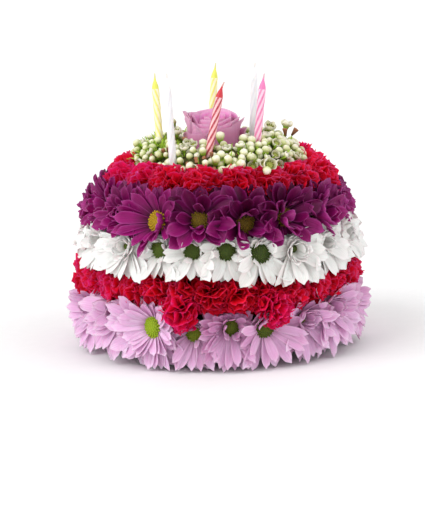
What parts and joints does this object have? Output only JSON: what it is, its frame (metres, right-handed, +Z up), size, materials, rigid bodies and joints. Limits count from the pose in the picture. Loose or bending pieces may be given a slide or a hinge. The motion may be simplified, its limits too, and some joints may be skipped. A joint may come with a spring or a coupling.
{
  "type": "flower cake with candles",
  "caption": "Round birthday cake made of fresh flowers: rows of daisies and carnations round a foam block, with sprigs, a rose and leaning twisted candles on top.",
  "frame": {"origin": "centre of the foam block's flat underside, which the cake rests on", "axes": "+Z up through the rose; -Y is the front, where the flower heads stand closest together; +X is the right as seen from the front"},
  "size_m": [0.2058, 0.2046, 0.1925],
  "materials": {
    "florist_foam": "wet, porous, matt",
    "lavender_petal": "soft matt petal",
    "crimson_petal": "soft matt ruffled petal",
    "white_petal": "soft matt petal",
    "purple_petal": "satin petal",
    "waxflower": "waxy buds among green stems",
    "rose_petal": "velvety petal",
    "yellow_wax": "waxy, striped",
    "white_wax": "waxy",
    "red_wax": "waxy, striped",
    "pink_wax": "waxy, striped"
  },
  "bodies": {
    "root": {"foam_block": "florist_foam", "lavender_daisy_01": "lavender_petal", "lavender_daisy_02": "lavender_petal", "lavender_daisy_03": "lavender_petal", "lavender_daisy_04": "lavender_petal", "lavender_daisy_05": "lavender_petal", "lavender_daisy_06": "lavender_petal", "lavender_daisy_07": "lavender_petal", "lavender_daisy_08": "lavender_petal", "lavender_daisy_09": "lavender_petal", "lavender_daisy_10": "lavender_petal", "lavender_daisy_11": "lavender_petal", "lavender_daisy_12": "lavender_petal", "lavender_daisy_13": "lavender_petal", "lavender_daisy_14": "lavender_petal", "lavender_daisy_15": "lavender_petal", "lavender_daisy_16": "lavender_petal", "lower_carnations": "crimson_petal", "white_daisy_01": "white_petal", "white_daisy_02": "white_petal", "white_daisy_03": "white_petal", "white_daisy_04": "white_petal", "white_daisy_05": "white_petal", "white_daisy_06": "white_petal", "white_daisy_07": "white_petal", "white_daisy_08": "white_petal", "white_daisy_09": "white_petal", "white_daisy_10": "white_petal", "white_daisy_11": "white_petal", "white_daisy_12": "white_petal", "white_daisy_13": "white_petal", "white_daisy_14": "white_petal", "white_daisy_15": "white_petal", "white_daisy_16": "white_petal", "white_daisy_17": "white_petal", "white_daisy_18": "white_petal", "purple_daisy_01": "purple_petal", "purple_daisy_02": "purple_petal", "purple_daisy_03": "purple_petal", "purple_daisy_04": "purple_petal", "purple_daisy_05": "purple_petal", "purple_daisy_06": "purple_petal", "purple_daisy_07": "purple_petal", "purple_daisy_08": "purple_petal", "purple_daisy_09": "purple_petal", "purple_daisy_10": "purple_petal", "purple_daisy_11": "purple_petal", "purple_daisy_12": "purple_petal", "purple_daisy_13": "purple_petal", "purple_daisy_14": "purple_petal", "purple_daisy_15": "purple_petal", "top_carnations": "crimson_petal", "waxflower_sprigs": "waxflower", "rose": "rose_petal", "candle_yellow_left": "yellow_wax", "candle_white_left": "white_wax", "candle_yellow_back": "yellow_wax", "candle_red_front": "red_wax", "candle_pink_right": "pink_wax", "candle_white_right": "white_wax"}
  },
  "joints": []
}
